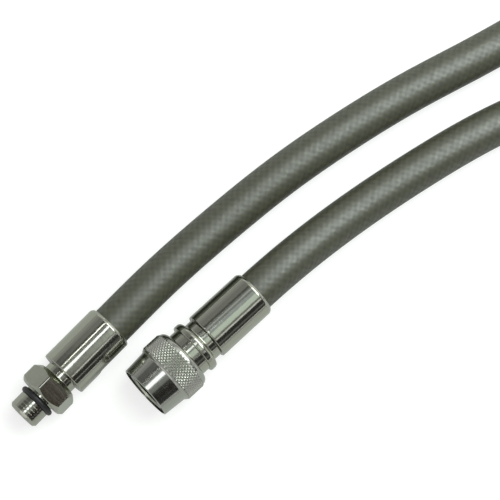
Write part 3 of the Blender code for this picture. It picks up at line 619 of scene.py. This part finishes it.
def coil(name, axis, middle_radius, wire, turns, front, rear, per_turn):
    """A compression spring: a round wire carried along a helix, which runs flatter near its ends.

    The share of the height is six tenths the share of the turns, and four tenths a smooth step.
    """
    share = np.linspace(0, 1, int(turns * per_turn) + 1)
    climb = 0.6 * share + 0.4 * share**2 * (3 - 2 * share)
    height = front + wire / 2 + (rear - front - wire) * climb
    line = round_axis(axis, np.array(middle_radius), 2 * math.pi * turns * share, height)
    return grid_piece(name, capped(carried(line, wire / 2 * MM, full_turn(12), axis[1])))


slot_front, slot_floor, slot_half_width, slot_half_length = 12.0, 13.75, 0.55, 3.0
brass = turned_brass()
core_plug = turned("core_plug_turned", COUPLING, [
    (0.95, 12.55), (2.3, 12.55, 0.1), (2.6, 12.85, 0.1), (2.6, 15.75), (0.95, 15.75)], columns=64)
slot_origin, slot_along, slot_across, slot_up = COUPLING
slot_cut = np.array([[-1, -1], [1, -1], [1, 1], [-1, 1]]) * [slot_half_width, slot_half_length]
slot_places = (slot_origin + MM * (np.array([slot_front, slot_floor])[:, None, None] * slot_along
                                   + slot_cut[None, :, :1] * slot_across
                                   + slot_cut[None, :, 1:] * slot_up))
drill(core_plug, [grid_piece("core_slot_cutter", capped(slot_places))])
core_barrel = turned("core_barrel_turned", COUPLING, [
    (1.3, 15.9), (1.75, 15.9), (1.75, 25.1, 0.1), (1.55, 25.3, 0.1), (0.75, 25.3), (0.75, 24.6),
    (1.3, 24.6)], columns=64)
core_pin = turned("core_pin_turned", COUPLING, [
    (0, 10.9), (0.45, 10.9, 0.1), (0.7, 11.15, 0.12), (0.7, 12.1, 0.1), (0.45, 12.4, 0.1),
    (0.45, 16.8), (1.05, 16.8), (1.05, 17.3), (0.45, 17.3), (0.45, 26.2), (1.7, 26.2),
    (1.7, 26.95, 0.08), (0, 26.95)], columns=48, closed=False)
core_gasket = turned("core_gasket_moulded", COUPLING, [
    (1.9, 16.12), (2.6, 16.12), (2.15, 18.1), (1.9, 18.1)], columns=64)
core_poppet_seal = turned("core_poppet_seal_moulded", COUPLING, [
    (0.6, 25.45), (1.6, 25.45), (1.6, 26.05), (0.6, 26.05)], columns=48)
core_spring = coil("core_spring_wire", COUPLING, 0.85, 0.25, 6, 17.45, 24.45, 24)
for piece, node in ((core_plug, "core_plug"), (core_barrel, "core_barrel")):
    finish_piece(piece, brass, "hose_assembly", "bare_brass", node)
finish_piece(core_pin, brass, "valve_pin", "bare_brass", "core_pin")
finish_piece(core_gasket, nitrile, "hose_assembly", "seal_rubber", "core_gasket")
finish_piece(core_poppet_seal, nitrile, "valve_pin", "seal_rubber", "core_poppet_seal")

# The springs, the balls and the retaining ring
# Drawn steel wire for the two springs, polished bearing balls, and a snap ring punched from spring
# steel that stops the sleeve from coming off over the front.


def steel(name, colour, dullness):
    """Bare steel, bright from drawing, rolling or polishing."""
    material, _, shader = new_material(name)
    shader.inputs["Base Color"].default_value = linear(colour)
    shader.inputs["Metallic"].default_value = 1.0
    shader.inputs["Roughness"].default_value = dullness
    return material


def ball(name, axis, angle, distance, circle, radius):
    """A ball whose poles lie across the fitting's axis: half a circle turned full round."""
    across = np.linspace(0, math.pi, 25)[:, None]
    place = spoke(axis, angle, distance)
    places = round_axis(place, radius * np.sin(across), full_turn(40)[None],
                        circle - radius * np.cos(across))
    return grid_piece(name, places)


spring_steel = steel("drawn spring steel", "#a9a9ab", 0.28)
bearing_steel = steel("polished bearing steel", "#c7c7c9", 0.1)
finish_piece(core_spring, spring_steel, "hose_assembly", "spring_steel", "core_spring")
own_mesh(core_spring)
sleeve_spring = coil("sleeve_spring_wire", COUPLING, 7.0, 0.6, 4, 6.53, 12.25, 48)
finish_piece(sleeve_spring, spring_steel, "hose_assembly", "spring_steel", "sleeve_spring")
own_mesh(sleeve_spring)
for k, angle in enumerate(ball_angle, start=1):
    lock_ball = ball(f"lock_ball_{k}_ground", COUPLING, angle, ball_distance, ball_circle,
                     ball_radius)
    finish_piece(lock_ball, bearing_steel, f"ball_{k}", "ball_steel", f"lock_ball_{k}")

half_gap, ring_radius = 1.2, 6.65
ring_gap = math.asin(half_gap / ring_radius)
ring_angle = np.linspace(ring_gap, 2 * math.pi - ring_gap, 120)[:, None] - math.pi / 2
ring_section = rounded([(5.75, 1.1), (7.55, 1.1), (7.55, 1.9), (5.75, 1.9)], closed=True)
retaining_ring = grid_piece("retaining_ring_punched", capped(round_axis(
    COUPLING, ring_section[None, :, 0], ring_angle, ring_section[None, :, 1])))
finish_piece(retaining_ring, spring_steel, "hose_assembly", "spring_steel", "retaining_ring")

# The sliding sleeve
# Turned from brass and satin nickel plated. The band that the fingers pull is knurled: two sets of
# crossing grooves are rolled into it, which leave rows of small pyramids, duller than the rest.

knurls_round, knurl_rows, steps_a_knurl = 54, 5, 8
knurl_root, knurl_crest = 9.47, 9.75
knurl_start, knurl_end = 7.95, 14.0
knurl_dullness, grain_width, grain_depth = 0.24, 0.5, 0.05
shoulder_radius, shoulder_start, shoulder_drop, shoulder_run = 7.75, 13.72, 1.68, 2.0


def knurl(angle):
    """Rows of (radius, distance) over the knurled band, and how its squares fold.

    With u the pyramids counted round and v counted along, the grooves lie where u + v or u - v is
    whole. The height is the lesser distance from the two sets, flattened on top and run out at
    the band's edges. A square that a groove crosses from corner to corner folds along it.
    """
    rows = knurl_rows * steps_a_knurl
    row, column = np.arange(rows + 1)[:, None], np.arange(len(angle))[None]
    u, v = column / steps_a_knurl, row / steps_a_knurl
    height = np.minimum(1 - np.abs(2 * ((u + v) % 1) - 1), 1 - np.abs(2 * ((u - v) % 1) - 1))
    edge = np.minimum(row, rows - row) / steps_a_knurl
    height = np.minimum(height, 0.75) / 0.75 * np.clip(edge / 0.25, 0, 1)
    radius = knurl_root + (knurl_crest - knurl_root) * height
    distance = np.broadcast_to(knurl_start + (knurl_end - knurl_start) * row / rows, radius.shape)
    fold = np.where((row + column + 1) % steps_a_knurl == 0, 2,
                    np.where((column - row) % steps_a_knurl == 0, 1, 0))
    return np.stack([radius, distance], axis=-1), fold[:-1]


def dull_the_knurl(material):
    """Rolled pyramids are rougher than turned metal: over the knurled band, a stretch of X, the
    plate's roughness is raised to knurl_dullness, and grains of grain_width tilt the surface."""
    tree = material.node_tree
    shader = tree.nodes["Principled BSDF"]
    place = add_node(tree, "TexCoord", {}).outputs["Object"]
    along = add_node(tree, "SeparateXYZ", {"Vector": place})
    middle = float(on_axis(COUPLING, (knurl_start + knurl_end) / 2)[0])
    half = (knurl_end - knurl_start) / 2 * MM
    knurled = add_node(tree, "Math", {0: along.outputs["X"], 1: middle, 2: half},
                       operation="COMPARE")
    rough = add_node(tree, "Math", {0: knurled.outputs[0], 1: knurl_dullness}, operation="MULTIPLY")
    turned_rough = shader.inputs["Roughness"].links[0].from_socket
    either = add_node(tree, "Math", {0: rough.outputs[0], 1: turned_rough}, operation="MAXIMUM")
    tree.links.new(either.outputs[0], shader.inputs["Roughness"])
    grain = add_node(tree, "TexNoise", {"Vector": place, "Scale": 1 / (grain_width * MM),
                                        "Detail": 1.0})
    height = add_node(tree, "Math", {0: grain.outputs["Fac"], 1: knurled.outputs[0]},
                      operation="MULTIPLY")
    turned_normal = shader.inputs["Normal"].links[0].from_socket
    bump = add_node(tree, "Bump", {"Height": height.outputs[0], "Distance": grain_depth * MM,
                                   "Strength": 1.0, "Normal": turned_normal})
    tree.links.new(bump.outputs[0], shader.inputs["Normal"])


sleeve_columns = knurls_round * steps_a_knurl
sleeve_angle = full_turn(sleeve_columns)
knurl_grid, knurl_fold = knurl(sleeve_angle)
quarter = np.radians(np.linspace(10, 90, 12))
sleeve_shoulder = [(shoulder_radius + shoulder_drop * math.cos(a),
                    shoulder_start + shoulder_run * math.sin(a), 0) for a in quarter]
sleeve_front = all_round([(7.8, 0.1), (8.35, 0.1, 0.35), (8.9, 7.15, 0.1), (9.3, 7.6, 0.12),
                          (knurl_root, knurl_start - 0.02)], sleeve_columns)
sleeve_rear = all_round([*sleeve_shoulder[1:], (7.45, 15.72), (7.45, 6.38), (6.55, 6.38),
                         (6.55, 4.18, 0.1), (7.2, 3.25, 0.1), (7.2, 2.15), (7.8, 2.15)],
                        sleeve_columns)
sleeve_rows = np.concatenate([sleeve_front, knurl_grid, sleeve_rear])
sleeve_fold = np.zeros(sleeve_rows.shape[:2], int)
sleeve_fold[len(sleeve_front):len(sleeve_front) + len(knurl_fold)] = knurl_fold
sleeve = grid_piece("sliding_sleeve_turned", round_axis(
    COUPLING, sleeve_rows[..., 0], sleeve_angle[None], sleeve_rows[..., 1]), closed_rows=True,
    fold=sleeve_fold)
satin_nickel = nickel_plate("satin nickel plate", "#b2b4ab", 0.15, 0.004)
dull_the_knurl(satin_nickel)
finish_piece(sleeve, satin_nickel, "sleeve", "satin_plated_brass", "sliding_sleeve")

# The ground, the light and the camera
# The hose lies on plain white paper in a pale room, seen from almost straight above. One lamp
# lights the fittings, and a wide one hangs over each side of the hose. Curved cards, which only
# mirrors see, stand for the room's walls and lights in the metal. There is next to no shadow.

ground_half = 6.0
ground_glow, ground_shine = 0.70, 0.18
room_glow = 0.42
ground_corners = [(-ground_half, -ground_half, 0), (ground_half, -ground_half, 0),
                  (ground_half, ground_half, 0), (-ground_half, ground_half, 0)]


def looking_rays(tree):
    """Two sockets: 1 where the camera looks, and 1 where a mirror or glass looks, else 0."""
    ray = add_node(tree, "LightPath", {})
    shine = add_node(tree, "Math", {0: ray.outputs["Is Glossy Ray"],
                                    1: ray.outputs["Is Transmission Ray"]}, operation="MAXIMUM")
    return ray.outputs["Is Camera Ray"], shine.outputs[0]


def white_ground():
    """Matt white paper. Its own glow, ground_glow for the camera and ground_shine for mirrors,
    thins the shadow."""
    material, tree, shader = new_material("white paper ground")
    shader.inputs["Base Color"].default_value = linear("#a2a2a0")
    shader.inputs["Roughness"].default_value = 1.0
    shader.inputs["Specular IOR Level"].default_value = 0.0
    camera_ray, mirror_ray = looking_rays(tree)
    faint = add_node(tree, "Math", {0: mirror_ray, 1: ground_shine}, operation="MULTIPLY")
    glow = add_node(tree, "Math", {0: camera_ray, 1: ground_glow, 2: faint.outputs[0]},
                    operation="MULTIPLY_ADD")
    shader.inputs["Emission Color"].default_value = linear("#ffffff")
    tree.links.new(glow.outputs[0], shader.inputs["Emission Strength"])
    return material


ground_mesh = bpy.data.meshes.new("ground")
ground_mesh.from_pydata(ground_corners, [], [(0, 1, 2, 3)])
ground = bpy.data.objects.new("ground", ground_mesh)
bpy.context.scene.collection.objects.link(ground)
ground_mesh.materials.append(white_ground())

world = bpy.data.worlds.new("pale room")
bpy.context.scene.world = world
world.use_nodes = True
room = world.node_tree
camera_ray, mirror_ray = looking_rays(room)
seen = add_node(room, "Math", {0: camera_ray, 1: mirror_ray}, operation="MAXIMUM")
room_light = add_node(room, "MapRange", {"Value": seen.outputs[0], "To Min": room_glow,
                                         "To Max": 1.0})
room.links.new(room_light.outputs[0], room.nodes["Background"].inputs["Strength"])
room.nodes["Background"].inputs["Color"].default_value = linear("#ffffff")

camera_target = np.array([0.04436, 0.00084, 0.007])
camera_distance = 0.600
camera_elevation = math.radians(79.5)
coupling_on_picture = math.radians(42.35)
picture_focal, picture_size = 2068.0, 500.0

# The camera looks along -back, and the coupling's axis rises at coupling_on_picture in its view.
back = np.array([-math.cos(camera_elevation), 0.0, math.sin(camera_elevation)])
level = np.cross(UP, back) / np.linalg.norm(np.cross(UP, back))
upward = np.cross(back, level)
roll = coupling_on_picture - math.atan2(upward[0], level[0])
right = level * math.cos(roll) - upward * math.sin(roll)
top = level * math.sin(roll) + upward * math.cos(roll)
camera_data = bpy.data.cameras.new("camera")
camera_data.lens = camera_data.sensor_width * picture_focal / picture_size
camera_data.clip_start, camera_data.clip_end = 0.01, 20.0
camera = bpy.data.objects.new("camera", camera_data)
bpy.context.scene.collection.objects.link(camera)
place = Matrix.Identity(4)
for column, direction in enumerate((right, top, back, camera_target + camera_distance * back)):
    place.col[column][:3] = direction
camera.matrix_world = place
bpy.context.scene.camera = camera
bpy.context.scene.view_settings.view_transform = "Standard"


card_distance, card_step, card_points = 0.35, 0.0005, 24
fittings_height = 0.009


def card(order, name, turn, reach, glow, tint=(1.0, 1.0, 1.0)):
    """A curved card over the fittings, bent round the X axis, which only mirrors see.

    Turn is where it starts and ends, in degrees from straight up towards +Y, and reach is where
    it starts and ends along X. Glow is its brightness, where white paper is 1. Each card hangs
    a little nearer than the one before it in the order.
    """
    distance = card_distance - card_step * order
    angle = np.radians(np.linspace(turn[0], turn[1], card_points))[:, None]
    places = np.stack(np.broadcast_arrays(
        np.array(reach), distance * np.sin(angle), fittings_height + distance * np.cos(angle)),
        axis=-1)
    corner = np.arange(2 * card_points).reshape(card_points, 2)
    faces = np.stack([corner[:-1, 0], corner[1:, 0], corner[1:, 1], corner[:-1, 1]], axis=-1)
    mesh = bpy.data.meshes.new(name)
    mesh.from_pydata(places.reshape(-1, 3).tolist(), [], faces.tolist())
    material = bpy.data.materials.new(name)
    material.use_nodes = True
    material.node_tree.nodes.clear()
    light = add_node(material.node_tree, "Emission", {"Color": (*tint, 1.0), "Strength": glow})
    add_node(material.node_tree, "OutputMaterial", {"Surface": light.outputs[0]})
    mesh.materials.append(material)
    made = bpy.data.objects.new(name, mesh)
    bpy.context.scene.collection.objects.link(made)
    made.visible_camera = made.visible_diffuse = made.visible_shadow = False
    made.visible_transmission = made.visible_volume_scatter = False


# Name, turn, reach, glow and, where it isn't white, tint of each card.
room_cards = [
    ("ceiling", (-43, 33), (-0.12, 0.14), 0.28),
    ("dark_wall", (-80, -38), (-0.12, 0.14), 0.045),
    ("far_ceiling", (-28, -5), (0.043, 0.14), 0.9, (0.94, 1.04, 0.97)),
    ("middle_ceiling", (-24, -2), (0.022, 0.043), 0.45),
    ("far_ceiling_edge", (-5, 10), (0.058, 0.14), 0.5, (0.94, 1.0, 1.08)),
    ("far_strip", (18.5, 26), (0.058, 0.14), 0.6, (0.94, 1.0, 1.08)),
    ("dark_gap", (33, 43), (-0.12, 0.14), 0.13),
    ("low_wall", (43, 69), (0.0, 0.14), 0.30),
    ("near_wall", (43, 69), (-0.12, 0.0), 0.15),
    ("side_wall", (66, 78), (-0.12, 0.14), 0.37),
    ("bright_wall", (78, 91), (-0.12, 0.14), 0.46),
    ("strip_light", (29, 31.5), (0.0, 0.045), 6.0),
    ("dark_flag", (-59, -22), (-0.12, -0.005), 0.025),
    ("brown_flag", (-59, -18), (-0.005, 0.014), 0.045, (1.5, 1.0, 0.8)),
    ("window_edge", (-36.5, -31.5), (0.014, 0.045), 1.3),
    ("far_window_edge", (-44, -37.5), (0.058, 0.14), 1.1),
    ("door_frame", (-60.5, -58), (0.0, 0.045), 0.7),
    ("far_door_frame", (-70, -62), (0.045, 0.14), 0.19),
    ("wall_foot", (-91, -82), (-0.12, 0.14), 0.48),
    ("near_softbox", (0, 15.5), (-0.09, 0.008), 2.2, (0.97, 1.0, 1.05)),
    ("softbox", (4.2, 12), (-0.09, 0.056), 3.4, (0.97, 1.0, 1.05)),
    ("front_wall", (-80, 80), (-0.9, -0.13), 0.5),
    ("rear_wall", (-80, -32), (0.14, 0.9), 0.12),
    ("rear_side_wall", (52, 80), (0.14, 0.9), 0.5),
    ("far_corner", (-80, -40), (0.28, 0.9), 0.65),
]
for order, row in enumerate(room_cards):
    card(order, *row)

lamp_tint = (0.9, 1.0, 0.96)


def lamp(name, place, size, power, mirrored):
    """A flat rectangular lamp that faces straight down. Mirrors see it only where mirrored."""
    data = bpy.data.lights.new(name, "AREA")
    data.shape = "RECTANGLE"
    data.size, data.size_y = size
    data.energy = power
    data.color = lamp_tint
    made = bpy.data.objects.new(name, data)
    bpy.context.scene.collection.objects.link(made)
    made.location = place
    made.visible_glossy = mirrored


lamp("main_lamp", (0.08, 0.06, 0.5), (0.3, 0.2), 0.8, False)
lamp("hose_lamp_left", (0.34, 0.1, 0.5), (0.5, 0.3), 2.0, True)
lamp("hose_lamp_right", (0.34, -0.13, 0.5), (0.5, 0.13), 1.25, True)
